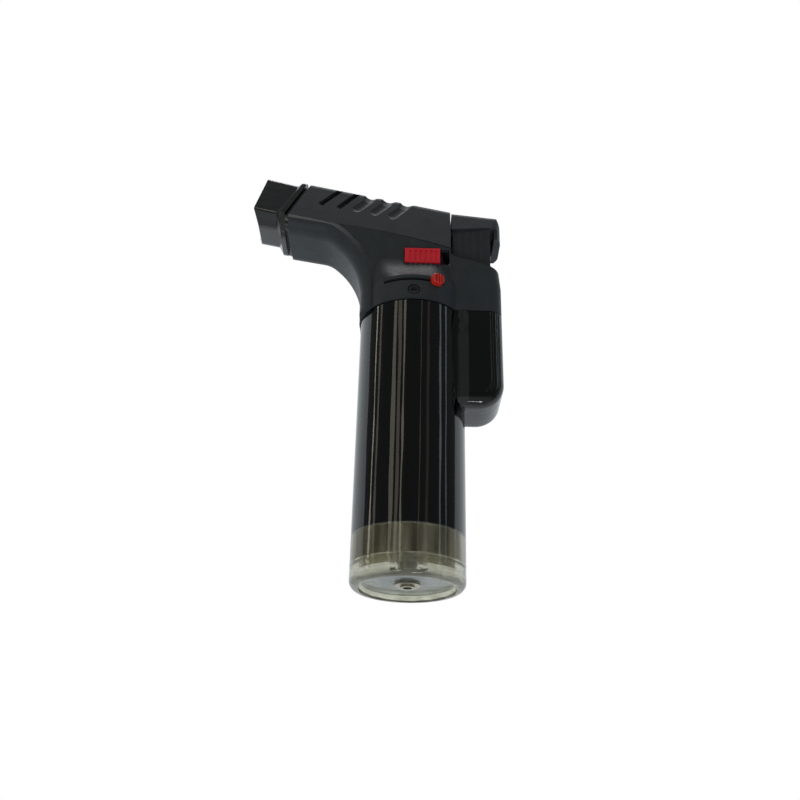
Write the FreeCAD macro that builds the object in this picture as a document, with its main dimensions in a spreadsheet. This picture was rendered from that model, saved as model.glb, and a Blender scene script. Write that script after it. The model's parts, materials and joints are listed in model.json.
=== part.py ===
"""Pocket butane torch: a smoked fuel tank under a black pistol-shaped head.

Frame: millimetres, +Z up along the tank's axis, origin at the centre of the tank's foot.
The nozzle points to -X and is raised, and the thumb button is at +X. Y = 0 is the mid-plane,
where the two halves of the head meet.
"""
import math
import os

import FreeCAD, Part
import Sketcher

V = FreeCAD.Vector
UP = V(0, 0, 1)

# Driving dimensions, in millimetres and degrees. Each becomes a cell of the spreadsheet.
DIMENSIONS = {
    # fuel tank and base
    "tank_radius": 19.0,
    "tank_wall": 1.8,
    "base_height": 7.2,
    "base_rounding": 2.4,
    "recess_radius": 16.0,
    "recess_depth": 2.0,
    "skirt_top": 16.8,
    "deck_under": 96.2,
    "tank_top": 98.5,
    "neck_top": 104.2,
    "neck_radius": 17.3,
    "neck_wall": 1.8,
    "boss_radius": 8.0,
    "boss_top": 101.5,
    # rear box of the tank, which holds the piezo igniter
    "box_left": 14.0,
    "box_right": 32.2,
    "box_half_width": 12.0,
    "box_bottom": 62.0,
    "box_corner": 5.0,
    "box_heel": 9.0,
    "pocket_left": 19.8,
    "pocket_wall": 1.9,
    # head housing
    "collar_radius": 19.6,
    "collar_bottom": 98.6,
    "collar_top": 108.4,
    "housing_wall": 2.0,
    "head_half_width": 12.4,
    "head_rear": 32.1,
    "shoulder_top": 123.0,
    "shoulder_right": 14.6,
    "shoulder_left": -19.2,
    "shoulder_sunk": 0.3,
    "shoulder_foot_inset": 0.25,
    "shoulder_foot_depth": 1.0,
    "shoulder_squareness": 0.35,
    "under_rounding": 6.5,
    "rim_proud": 1.2,
    "rim_width": 5.9,
    "rim_bevel": 20.0,
    "neck_bend": 32.0,
    "throat_bend": 9.0,
    "neck_front": -19.4,
    "head_front": -47.6,
    "under_front": 133.3,
    "throat_x": -32.7,
    "throat_z": 130.7,
    "neck_foot_z": 104.5,
    "ridge_front_z": 139.2,
    "ridge_slope": 0.2331,
    "seam_step_x": -32.5,
    "seam_step_z": 135.5,
    "seam_middle_x": -14.0,
    "seam_middle_z": 132.6,
    "shelf_front_z": 122.2,
    "shelf_rear_z": 117.0,
    "shelf_edge": 1.4,
    "split_gap": 0.04,
    # top cover
    "cover_rear": 13.5,
    "cover_front_top": -40.3,
    "cover_front_z": 157.0,
    "top_rear_z": 145.9,
    "top_slope": 0.214,
    "top_half_width": 8.4,
    "top_rounding": 3.2,
    "cover_gap": 0.15,
    "cover_gap_rear": 0.5,
    "vent_width": 2.1,
    "vent_pitch": 6.8,
    "vent_front": -32.4,
    "vent_length": 11.5,
    "vent_drop": 5.9,
    "vent_rise": 49.0,
    "vent_fan": 2.0,
    "vent_reach": 7.4,
    "vent_inward": 3.8,
    "groove_front": -19.9,
    "groove_radius": 4.0,
    "groove_depth": 0.45,
    "groove_length": 6.0,
    "groove_drop": 6.9,
    "groove_turn": 40.0,
    "groove_bend": 1.5,
    # barrel axis, along which the burner lies
    "head_tilt": 13.0,
    "axis_x": -45.0,
    "axis_z": 146.0,
    # nozzle guard and its ring
    "ring_width": 1.5,
    "ring_inset": 1.2,
    "ring_gap": 0.05,
    "ring_rounding": 3.6,
    "nozzle_front": -61.3,
    "nozzle_rake": 0.209,
    "nozzle_under_rake": 0.35,
    "nozzle_wall": 1.5,
    "nozzle_bottom_half": 6.3,
    "nozzle_ridge_half": 10.9,
    "nozzle_top_half": 7.0,
    "nozzle_bottom_z": 136.2,
    "nozzle_ridge_z": 140.1,
    "nozzle_top_z": 158.4,
    "nozzle_middle": -50.0,
    "nozzle_bottom_slope": 0.2,
    "nozzle_top_slope": 0.26,
    "nozzle_rounding": 1.8,
    "nozzle_belly": 4.2,
    "nozzle_ridge_round": 1.4,
    "lip_width": 1.7,
    "lip_flare": 1.8,
    "lip_proud": 1.3,
    "lip_drop": 1.9,
    # burner
    "burner_radius": 4.6,
    "burner_front": 12.0,
    "burner_rear": -16.0,
    "sheet_metal": 0.5,
    "mixer_radius": 2.8,
    "mixer_rear": -27.0,
    "jet_rear": -34.5,
    "nipple_radius": 1.0,
    "hose_bore": 1.05,
    "hose_radius": 1.6,
    "running_gap": 0.05,
    # valve
    "valve_radius": 4.5,
    "valve_bottom": 90.0,
    "valve_top": 108.5,
    "chamber_radius": 2.6,
    "chamber_bottom": 93.0,
    "chamber_top": 104.0,
    "stem_radius": 1.15,
    "collar_under": 112.2,
    # flame adjuster
    "slot_low": 106.05,
    "slot_high": 107.2,
    "slot_half_angle": 33.0,
    "adjuster_rest": 23.6,
    "knob_gap": 0.4,
    "knob_half": 2.3,
    "knob_over": 1.5,
    "knob_thickness": 2.3,
    "knob_corner": 1.7,
    "knob_edge": 0.7,
    "knob_groove_pitch": 1.1,
    "knob_groove_half": 0.25,
    "knob_groove_depth": 0.4,
    # gas lever
    "pivot_x": 4.4,
    "pivot_z": 111.1,
    "pin_radius": 1.0,
    "pin_fit": 0.02,
    "pin_cover": 3.0,
    "pin_boss_start": 4.0,
    "lever_half": 0.8,
    # thumb button
    "button_front": 14.1,
    "button_rear": 32.8,
    "stem_half_width": 8.8,
    "stem_setback": 0.3,
    "stem_rear": 28.4,
    "stem_bottom": 115.2,
    "hood_front_z": 145.4,
    "hood_slope": 0.109,
    "hood_under": 135.7,
    "hood_under_rise": 0.105,
    "hood_corner": 4.6,
    "hood_plan_half": 10.2,
    "hood_plan_corner": 6.5,
    "hood_lean": 0.2,
    "skirt_foot": 133.0,
    "skirt_wall": 2.6,
    "skirt_half_width": 7.8,
    "button_gap": 0.35,
    "nub_left": 17.0,
    "nub_foot": 112.3,
    "nub_length": 1.4,
    "nub_width": 3.6,
    "flute_radius": 2.2,
    "flute_pitch": 2.8,
    "flute_first": 1.7,
    "flute_off": 1.95,
    # piezo igniter
    "piezo_x": 24.8,
    "piezo_bottom": 69.0,
    "piezo_top": 96.0,
    "plunger_radius": 3.0,
    # lock slide
    "lock_left": -3.5,
    "lock_right": 9.5,
    "lock_low": 118.0,
    "lock_high": 124.2,
    "lock_face": 13.4,
    "lock_plate": 1.2,
    "lock_plate_face": 10.15,
    "lock_plate_left": -6.0,
    "lock_plate_right": 10.6,
    "lock_peg": 1.0,
    "lock_peg_inset": 2.5,
    "rib_first": 1.7,
    "rib_pitch": 1.9,
    "rib_gap": 0.95,
    "rib_depth": 0.4,
    "rib_top": 0.9,
    "window_right": 13.0,
    "slide_gap": 0.25,
    # refill valve
    "refill_radius": 2.8,
    "refill_port": 1.5,
    # screws
    "screw_head": 1.9,
    "screw_shank": 1.1,
    "screw_boss": 2.3,
    "screw_seat": 3.5,
    "collar_seat": 1.3,
    "collar_head": 0.9,
    "body_head": 1.3,
    "head_clearance": 0.3,
    "screw_end": 9.0,
    "cross_length": 2.3,
    "cross_width": 0.55,
    "cross_depth": 0.6,
    "collar_screw_z": 102.2,
    "collar_screw_length": 5.0,
    "body_screw_length": 16.0,
}

doc = FreeCAD.newDocument("butane_torch")
sheet = doc.addObject("Spreadsheet::Sheet", "Sizes")
for row, (alias, number) in enumerate(DIMENSIONS.items(), start=1):
    sheet.set(f"A{row}", alias)
    sheet.set(f"B{row}", str(number))
    sheet.setAlias(f"B{row}", alias)
doc.recompute()


class Size:
    """A number that remembers the sheet formula it comes from."""

    def __init__(self, value, formula):
        self.value = value
        self.formula = formula

    def _join(self, other, sign, value):
        other_formula = other.formula if isinstance(other, Size) else repr(float(other))
        return Size(value, f"({self.formula} {sign} {other_formula})")

    def __add__(self, other):
        return self._join(other, "+", self.value + number_of(other))

    def __sub__(self, other):
        return self._join(other, "-", self.value - number_of(other))

    def __mul__(self, other):
        return self._join(other, "*", self.value * number_of(other))

    def __neg__(self):
        return Size(-self.value, f"(0 - {self.formula})")


class SheetReader:
    """Gives each named dimension as a Size: at.tank_radius."""

    def __getattr__(self, alias):
        return Size(DIMENSIONS[alias], f"Sizes.{alias}")


at = SheetReader()


def number_of(size):
    return size.value if isinstance(size, Size) else float(size)


def bind(target, prop, size):
    """Binds a property of an object to the sheet, or sets it when it is a plain number."""
    if isinstance(size, Size):
        target.setExpression(prop, size.formula)
    elif prop.startswith("Placement.") or prop.startswith("AttachmentOffset."):
        target.setExpression(prop, repr(float(size)))
    else:
        setattr(target, prop, size)


def place(target, x=0, y=0, z=0):
    for axis, size in zip("xyz", (x, y, z)):
        if number_of(size) != 0:
            bind(target, f"Placement.Base.{axis}", size)


# ---------------------------------------------------------------- sketches and bodies

class Arc:
    """A vertex reached by an arc of the given radius; bulge is +1 to the left of the way there."""

    def __init__(self, x, z, radius, bulge):
        self.point = (x, z)
        self.radius = radius
        self.bulge = bulge


class Disc:
    """A round outline."""

    def __init__(self, x, z, radius):
        self.point = (x, z)
        self.radius = radius


def vertex(step):
    return step.point if isinstance(step, Arc) else step


def arc_middle(start, end, radius, bulge):
    """Point halfway along the short arc from start to end."""
    chord = end - start
    half = chord.Length / 2
    rise = radius - math.sqrt(radius * radius - half * half)
    normal = V(-chord.y, chord.x, 0).normalize()
    return (start + end) * 0.5 + normal * (rise * bulge)


class Piece:
    """One sub-part, modelled as a PartDesign body."""

    def __init__(self, label):
        self.body = doc.addObject("PartDesign::Body", label)
        self.label = label
        self.count = 0

    def new(self, kind, word):
        self.count += 1
        return self.body.newObject(kind, f"{self.label}_{word}_{self.count}")

    def sketch(self, plane, path, offset=0):
        """Closed outline on one of the body's own origin planes, every vertex dimensioned."""
        sketch = self.new("Sketcher::SketchObject", "outline")
        origin_plane = [item for item in self.body.Origin.OriginFeatures if item.Role == plane][0]
        sketch.AttachmentSupport = [(origin_plane, "")]
        sketch.MapMode = "FlatFace"
        if number_of(offset) != 0:
            bind(sketch, "AttachmentOffset.Base.z", offset)
        if isinstance(path, Disc):
            centre = V(number_of(path.point[0]), number_of(path.point[1]), 0)
            sketch.addGeometry(Part.Circle(centre, V(0, 0, 1), number_of(path.radius)), False)
            self.fix(sketch, 0, 3, path.point)
            self.fix_radius(sketch, 0, path.radius)
            return sketch
        points = [V(number_of(vertex(step)[0]), number_of(vertex(step)[1]), 0) for step in path]
        ends = []
        for index, start in enumerate(points):
            target = path[(index + 1) % len(path)]
            end = points[(index + 1) % len(path)]
            if isinstance(target, Arc):
                middle = arc_middle(start, end, number_of(target.radius), target.bulge)
                sketch.addGeometry(Part.Arc(start, middle, end), False)
                ends.append((2, 1) if target.bulge > 0 else (1, 2))
            else:
                sketch.addGeometry(Part.LineSegment(start, end), False)
                ends.append((1, 2))
        for index in range(len(path)):
            following = (index + 1) % len(path)
            sketch.addConstraint(
                Sketcher.Constraint("Coincident", index, ends[index][1], following, ends[following][0]))
            self.fix(sketch, index, ends[index][0], vertex(path[index]))
            if isinstance(path[following], Arc):
                self.fix_radius(sketch, index, path[following].radius)
        return sketch

    def fix_radius(self, sketch, index, radius):
        mark = sketch.addConstraint(Sketcher.Constraint("Radius", index, number_of(radius)))
        if isinstance(radius, Size):
            sketch.setExpression(f"Constraints[{mark}]", radius.formula)

    def fix(self, sketch, index, end, point):
        """Dimensions one vertex from the sketch's origin."""
        for kind, axis, size in (("DistanceX", -2, point[0]), ("DistanceY", -1, point[1])):
            if number_of(size) == 0:
                sketch.addConstraint(Sketcher.Constraint("PointOnObject", index, end, axis))
                continue
            mark = sketch.addConstraint(Sketcher.Constraint(kind, -1, 1, index, end, number_of(size)))
            if isinstance(size, Size):
                sketch.setExpression(f"Constraints[{mark}]", size.formula)

    def revolve(self, path):
        """Turns an (radius, height) outline about Z."""
        feature = self.new("PartDesign::Revolution", "turned")
        feature.Profile = self.sketch("XZ_Plane", path)
        feature.ReferenceAxis = (feature.Profile[0], ["V_Axis"])
        feature.Angle = 360
        return self

    def pad(self, plane, path, length, offset=0, symmetric=False):
        feature = self.new("PartDesign::Pad", "pad")
        feature.Profile = self.sketch(plane, path, offset)
        bind(feature, "Length", length)
        feature.SideType = "Symmetric" if symmetric else "One side"
        return self

    def pocket(self, plane, path, length, offset=0, symmetric=False, reverse=False):
        """Cuts an outline out and makes sure that it really removed something."""
        doc.recompute()
        before = self.body.Shape.Volume
        feature = self.new("PartDesign::Pocket", "cut")
        feature.Profile = self.sketch(plane, path, offset)
        bind(feature, "Length", length)
        feature.SideType = "Symmetric" if symmetric else "One side"
        feature.Reversed = reverse
        doc.recompute()
        if self.body.Shape.Volume > before - 0.01:
            raise RuntimeError(f"{feature.Name} cut nothing")
        return self

    def round(self, radius, chosen, kind="Fillet"):
        """Rounds or chamfers the edges that chosen(edge) picks."""
        doc.recompute()
        tip = self.body.Tip
        names = [f"Edge{n}" for n, edge in enumerate(tip.Shape.Edges, start=1) if chosen(edge)]
        if not names:
            raise RuntimeError(f"no edge of {self.label} to round")
        feature = self.new(f"PartDesign::{kind}", "rounding")
        feature.Base = (tip, names)
        bind(feature, "Radius" if kind == "Fillet" else "Size", radius)
        return self


def rectangle(x0, x1, y0, y1):
    return [(x0, y0), (x1, y0), (x1, y1), (x0, y1)]


def along(edge, direction):
    """True for a straight edge that runs along a direction."""
    if edge.Curve.TypeId != "Part::GeomLine":
        return False
    way = (edge.Vertexes[1].Point - edge.Vertexes[0].Point).normalize()
    return abs(abs(way.dot(direction)) - 1) < 1e-4


def on_barrel(piece):
    """Turns a body modelled along +Z so that it lies along the raised barrel axis."""
    target = piece.body if isinstance(piece, Piece) else piece
    target.Placement = FreeCAD.Placement(V(0, 0, 0), FreeCAD.Rotation(V(0, -1, 0), 77))
    target.setExpression("Placement.Rotation.Angle", "90 - Sizes.head_tilt")
    place(target, x=at.axis_x, z=at.axis_z)
    return piece


def barrel_point(distance, rise=0.0, aside=0.0):
    """A point along the barrel axis, forward of its origin, raised square to it."""
    tilt = math.radians(DIMENSIONS["head_tilt"])
    forward = V(-math.cos(tilt), 0, math.sin(tilt))
    upward = V(math.sin(tilt), 0, math.cos(tilt))
    origin = V(DIMENSIONS["axis_x"], 0, DIMENSIONS["axis_z"])
    return origin + forward * distance + upward * rise + V(0, aside, 0)


def freeform(label, shape):
    """A sub-part whose shape is computed here from the sheet's numbers."""
    target = doc.addObject("Part::Feature", label)
    target.Shape = shape
    return target


def tube(points, radius, bore=0.0, bend=None):
    """Round tube along straight runs joined by tangent arcs."""
    path = []
    start = points[0]
    for before, corner, after in zip(points, points[1:], points[2:]):
        to_before = (before - corner)
        to_after = (after - corner)
        turn = math.pi - to_before.getAngle(to_after)
        largest = 0.45 * min(to_before.Length, to_after.Length) / math.tan(turn / 2)
        arc_radius = min(largest, bend) if bend else largest
        trim = arc_radius * math.tan(turn / 2)
        one = corner + V(to_before).normalize() * trim
        two = corner + V(to_after).normalize() * trim
        inward = (V(to_before).normalize() + V(to_after).normalize()).normalize()
        middle = corner + inward * (arc_radius / math.cos(turn / 2) - arc_radius)
        path.append(Part.LineSegment(start, one).toShape())
        path.append(Part.Arc(one, middle, two).toShape())
        start = two
    path.append(Part.LineSegment(start, points[-1]).toShape())
    spine = Part.Wire(path)
    solid = sweep(spine, points, radius)
    if bore:
        solid = solid.cut(sweep(spine, points, bore))
    expected = math.pi * (radius ** 2 - bore ** 2) * spine.Length
    if abs(solid.Volume - expected) > 0.02 * expected:
        raise RuntimeError("a tube's volume is not its section times its length")
    return solid


def sweep(spine, points, radius):
    ring = Part.Wire(Part.Circle(points[0], points[1] - points[0], radius).toShape())
    return Part.Wire(spine).makePipeShell([ring], True, True)


def coil(centre, radius, wire, low, high, turns):
    """Compression spring about Z, between two heights."""
    height = high - low - 2 * wire
    helix = Part.makeHelix(height / turns, height, radius)
    ring = Part.Wire(Part.Circle(V(radius, 0, 0), V(0, 1, 0), wire).toShape())
    spring = Part.Wire(helix).makePipeShell([ring], True, True)
    spring.translate(V(centre.x, centre.y, low + wire))
    return spring


# ---------------------------------------------------------------- tank and base

def base_cap():
    radius = at.tank_radius
    spigot = at.tank_radius - at.tank_wall - at.running_gap
    hub = 6.0
    path = [
        (at.refill_radius + at.running_gap, at.recess_depth),
        (at.recess_radius - 0.7, at.recess_depth),
        (at.recess_radius, 0),
        (radius - at.base_rounding, 0),
        Arc(radius, at.base_rounding, at.base_rounding, -1),
        (radius, at.base_height),
        (spigot, at.base_height),
        (spigot, at.skirt_top),
        (spigot - 1.5, at.skirt_top),
        (spigot - 1.5, at.recess_depth + 2.6),
        (hub, at.recess_depth + 2.6),
        (hub, 12.0),
        (at.refill_radius + at.running_gap, 12.0),
    ]
    return Piece("base_cap").revolve(path)


def fuel_tank():
    inner = at.tank_radius - at.tank_wall
    neck_inner = at.neck_radius - at.neck_wall
    hole = at.valve_radius + at.running_gap
    shell = Piece("fuel_tank_shell").revolve([
        (inner, at.base_height + 0.05),
        (at.tank_radius, at.base_height + 0.05),
        (at.tank_radius, at.tank_top),
        (at.neck_radius, at.tank_top),
        (at.neck_radius, at.neck_top),
        (neck_inner, at.neck_top),
        (neck_inner, at.tank_top),
        (at.boss_radius, at.tank_top),
        (at.boss_radius, at.boss_top),
        (hole, at.boss_top),
        (hole, at.deck_under - 3.0),
        (at.boss_radius, at.deck_under - 3.0),
        (at.boss_radius, at.deck_under),
        (inner, at.deck_under),
    ])
    box = Piece("fuel_tank_box")
    half = at.box_half_width
    box.pad("XY_Plane", rectangle(at.box_left, at.box_right, -half, half),
            at.tank_top - at.box_bottom, offset=at.box_bottom)
    right = DIMENSIONS["box_right"]
    bottom = DIMENSIONS["box_bottom"]
    top = DIMENSIONS["tank_top"]
    box.round(at.box_heel, lambda edge: along(edge, V(0, 1, 0))
              and abs(edge.CenterOfMass.x - right) < 0.1 and abs(edge.CenterOfMass.z - bottom) < 0.1)
    box.round(at.box_corner, lambda edge: edge.BoundBox.XMax > right - 0.1
              and edge.BoundBox.ZMin < top - 1
              and abs(abs(edge.CenterOfMass.y) - DIMENSIONS["box_half_width"]) < 0.1)
    wall = at.pocket_wall
    well = Piece("fuel_tank_well")
    well.pad("XY_Plane", rectangle(at.pocket_left, at.box_right - wall, -(half - wall), half - wall),
             at.tank_top - at.box_bottom, offset=at.box_bottom + wall)
    inner_right = right - DIMENSIONS["pocket_wall"]
    inner_bottom = bottom + DIMENSIONS["pocket_wall"]
    well.round(at.box_heel - wall, lambda edge: along(edge, V(0, 1, 0))
               and abs(edge.CenterOfMass.x - inner_right) < 0.1
               and abs(edge.CenterOfMass.z - inner_bottom) < 0.1)
    well.round(at.box_corner - wall, lambda edge: edge.BoundBox.XMax > inner_right - 0.1
               and edge.BoundBox.ZMin < top - 1
               and abs(abs(edge.CenterOfMass.y) + DIMENSIONS["pocket_wall"]
                       - DIMENSIONS["box_half_width"]) < 0.1)
    bore = doc.addObject("Part::Cylinder", "fuel_tank_bore")
    bind(bore, "Radius", inner)
    bind(bore, "Height", at.deck_under - at.base_height)
    place(bore, z=at.base_height)
    cavities = doc.addObject("Part::MultiFuse", "fuel_tank_cavities")
    cavities.Shapes = [bore, well.body]
    hollow_box = doc.addObject("Part::Cut", "fuel_tank_hollow_box")
    hollow_box.Base = box.body
    hollow_box.Tool = cavities
    pilot = doc.addObject("Part::Cylinder", "fuel_tank_pilot")
    bind(pilot, "Radius", at.screw_shank + at.running_gap)
    bind(pilot, "Height", at.tank_radius * 2)
    pilot.Placement = FreeCAD.Placement(V(0, 0, 0), FreeCAD.Rotation(V(1, 0, 0), 90))
    place(pilot, y=at.tank_radius, z=at.collar_screw_z)
    joined = doc.addObject("Part::MultiFuse", "fuel_tank_joined")
    joined.Shapes = [shell.body, hollow_box]
    joined.Refine = True
    tank = doc.addObject("Part::Cut", "fuel_tank")
    tank.Base = joined
    tank.Tool = pilot
    return tank


def refill_valve():
    """The brass filler in the base: body, moving stem, its seal and its spring."""
    port = at.refill_port
    body = Piece("refill_valve_body").revolve([
        (port, 0.6), (2.4, 0.6), (2.4, 1.3), (4.2, 1.3), (4.2, at.recess_depth),
        (at.refill_radius, at.recess_depth), (at.refill_radius, 13.2), (0.6, 13.2),
        (0.6, 12.0), (2.0, 12.0), (2.0, 4.5), (0.95, 4.5), (0.95, 3.0), (port, 3.0)])
    stem = Piece("refill_stem").revolve([
        (0, 3.1), (0.85, 3.1), (0.85, 5.0), (1.7, 5.0), (1.7, 6.2), (0.8, 6.2), (0.8, 7.4), (0, 7.4)])
    seal = Piece("refill_seal").revolve([(0.88, 4.52), (1.7, 4.52), (1.7, 4.98), (0.88, 4.98)])
    spring = freeform("refill_spring", coil(V(0, 0, 0), 1.3, 0.2, 6.25, 11.95, 6))
    return [body, stem, seal, spring]


# ---------------------------------------------------------------- gas valve and adjuster

def gas_valve():
    """Valve in the tank's deck: body, gasket, moving stem with its seat, spring, dip tube and wick."""
    radius = at.valve_radius
    gasket_top = at.boss_top + 0.6
    flange_top = at.boss_top + 1.9
    body = Piece("valve_body").revolve([
        (0.6, at.valve_bottom - 2.0), (1.4, at.valve_bottom - 2.0), (1.4, at.valve_bottom),
        (radius, at.valve_bottom), (radius, gasket_top), (6.2, gasket_top), (6.2, flange_top),
        (radius - 0.1, flange_top), (radius - 0.1, at.valve_top),
        (at.stem_radius + at.running_gap, at.valve_top), (at.stem_radius + at.running_gap, at.chamber_top),
        (at.chamber_radius, at.chamber_top), (at.chamber_radius, at.chamber_bottom),
        (0.6, at.chamber_bottom)])
    gasket = Piece("valve_gasket").revolve([
        (radius + 0.1, at.boss_top), (6.2, at.boss_top), (6.2, gasket_top), (radius + 0.1, gasket_top)])
    nipple = at.nipple_radius
    collar = at.collar_under
    seat_top = at.chamber_bottom + 0.9
    stem = Piece("valve_stem").revolve([
        (0, seat_top), (2.2, seat_top), (2.2, seat_top + 1.4), (at.stem_radius, seat_top + 1.4),
        (at.stem_radius, collar), (2.4, collar), (2.4, collar + 1.2),
        (nipple, collar + 1.2), (nipple, collar + 4.8), (0.4, collar + 4.8), (0.4, collar + 1.5),
        (0, collar + 1.5)])
    seat = Piece("valve_seat").revolve([
        (0, at.chamber_bottom + 0.05), (1.8, at.chamber_bottom + 0.05), (1.8, seat_top), (0, seat_top)])
    spring_low = DIMENSIONS["chamber_bottom"] + 2.35
    spring = freeform("valve_spring", coil(V(0, 0, 0), 1.85, 0.25, spring_low,
                                           DIMENSIONS["chamber_top"] - 0.05, 6))
    dip = Piece("dip_tube").revolve([
        (1.45, 20.0), (2.2, 20.0), (2.2, at.valve_bottom - 0.05), (1.45, at.valve_bottom - 0.05)])
    wick = Piece("wick").revolve([
        (0, 18.5), (1.35, 18.5), (1.35, at.valve_bottom - 2.2), (0, at.valve_bottom - 2.2)])
    return [body, gasket, stem, seat, spring, dip, wick]


def flame_adjuster():
    """Ring on the valve's hub with an arm and a knob that stands out of the collar's slot."""
    bore = at.valve_radius - 0.05
    hub = Piece("flame_adjuster_hub").revolve([
        (bore, 104.6), (8.0, 104.6), (8.0, 108.2), (bore, 108.2)])
    arm = Piece("flame_adjuster_arm")
    arm.pad("XZ_Plane", rectangle(-1.3, 1.3, at.slot_low + 0.2, at.slot_high - 0.2),
            at.collar_radius - 5.0, offset=6.0)
    knob = Piece("flame_adjuster_knob")
    start = at.collar_radius + at.knob_gap
    half = at.knob_half
    knob.pad("XZ_Plane", rectangle(-half, half, at.slot_low - at.knob_over, at.slot_high + at.knob_over),
             at.knob_thickness, offset=start)
    knob.round(at.knob_corner, lambda edge: along(edge, V(0, 1, 0)))
    almost_out = number_of(start + at.knob_thickness) - 0.1
    knob.round(at.knob_edge, lambda edge: edge.BoundBox.YMax < -almost_out)
    for index in range(-1, 2):
        x = at.knob_groove_pitch * index
        knob.pocket("XZ_Plane", rectangle(x - at.knob_groove_half, x + at.knob_groove_half,
                                          at.slot_low - 2.0, at.slot_high + 2.0),
                    at.knob_groove_depth, offset=start + at.knob_thickness)
    joined = doc.addObject("Part::MultiFuse", "flame_adjuster")
    joined.Shapes = [hub.body, arm.body, knob.body]
    joined.Placement = FreeCAD.Placement(V(0, 0, 0), FreeCAD.Rotation(UP, 23.6))
    joined.setExpression("Placement.Rotation.Angle", "Sizes.adjuster_rest")
    return joined


def gas_lever():
    """Fork that lifts the valve's stem when the button pushes its long arm down."""
    low = at.pivot_z - at.lever_half
    lever = Piece("gas_lever")
    thickness = at.lever_half * 2
    lever.pad("XY_Plane", rectangle(at.pivot_x, 18.6, -2.0, 2.0), thickness, offset=low)
    lever.pad("XY_Plane", rectangle(-0.9, at.pivot_x + 2.2, -3.6, 3.6), thickness, offset=low)
    lever.pad("XZ_Plane", Disc(at.pivot_x, at.pivot_z, 2.2), 7.2, symmetric=True)
    lever.pocket("XY_Plane", rectangle(-3.0, at.pivot_x - 2.3, -1.5, 1.5), 4.0,
                 offset=at.pivot_z + 2.0)
    hole = at.pin_radius + at.running_gap
    lever.pocket("XZ_Plane", Disc(at.pivot_x, at.pivot_z, hole), 10.0, symmetric=True)
    return lever


def lever_pin():
    pin = doc.addObject("Part::Cylinder", "lever_pin")
    bind(pin, "Radius", at.pin_radius)
    bind(pin, "Height", at.head_half_width * 2 - at.pin_cover * 2)
    pin.Placement = FreeCAD.Placement(V(0, 0, 0), FreeCAD.Rotation(V(1, 0, 0), 90))
    place(pin, x=at.pivot_x, y=at.head_half_width - at.pin_cover, z=at.pivot_z)
    return pin


# ---------------------------------------------------------------- burner along the barrel axis

def burner():
    """Gas jet, mixing tube, burner tube with its flame holder, and the bracket that carries them."""
    metal = at.sheet_metal
    outer = at.burner_radius
    inner = outer - metal
    burner_tube = on_barrel(Piece("burner_tube").revolve([
        (inner, at.burner_rear), (outer, at.burner_rear), (outer, at.burner_front),
        (inner, at.burner_front)]))
    slim = at.mixer_radius
    mixer = Piece("mixing_tube").revolve([
        (slim - metal, at.mixer_rear), (slim, at.mixer_rear), (slim, at.burner_rear - 3.0),
        (inner - 0.05, at.burner_rear + 0.5), (inner - 0.05, at.burner_rear + 4.0),
        (inner - metal, at.burner_rear + 4.0), (inner - metal, at.burner_rear + 0.7),
        (slim - metal, at.burner_rear - 2.8)])
    for plane in ("XZ_Plane", "YZ_Plane"):
        mixer.pocket(plane, rectangle(-1.0, 1.0, at.mixer_rear + 3.2, at.mixer_rear + 6.0),
                     10.0, symmetric=True)
    on_barrel(mixer)
    throat = slim - metal - at.running_gap
    jet = on_barrel(Piece("gas_jet").revolve([
        (0.3, at.jet_rear), (at.nipple_radius, at.jet_rear), (at.nipple_radius, at.jet_rear + 4.0),
        (3.2, at.jet_rear + 4.0), (3.2, at.jet_rear + 7.45), (throat, at.jet_rear + 7.45),
        (throat, at.jet_rear + 9.5), (0.3, at.jet_rear + 9.5)]))
    holder = Piece("flame_holder").revolve([
        (0, at.burner_front - 3.0), (inner - 0.02, at.burner_front - 3.0),
        (inner - 0.02, at.burner_front - 1.4), (0, at.burner_front - 1.4)])
    for index in range(6):
        angle = math.radians(60 * index)
        x = 2.5 * math.cos(angle)
        y = 2.5 * math.sin(angle)
        holder.pocket("XY_Plane", rectangle(x - 0.55, x + 0.55, y - 0.55, y + 0.55), 4.0,
                      offset=at.burner_front)
    on_barrel(holder)
    bracket = Piece("burner_bracket")
    bracket.pad("XY_Plane", rectangle(-9.6, 5.8, -7.0, 7.0), 3.0, offset=-7.0)
    doc.recompute()
    bracket.round(1.5, lambda edge: along(edge, UP))
    hole = outer + 0.02
    bracket.pocket("XY_Plane", Disc(0, 0, hole), 4.0, offset=-3.5)
    on_barrel(bracket)
    shield = on_barrel(Piece("flame_shield").revolve([
        (5.3, 2.0), (5.7, 2.0), (5.7, 12.0), (5.3, 12.0)]))
    return [burner_tube, mixer, jet, holder, bracket, shield]


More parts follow.
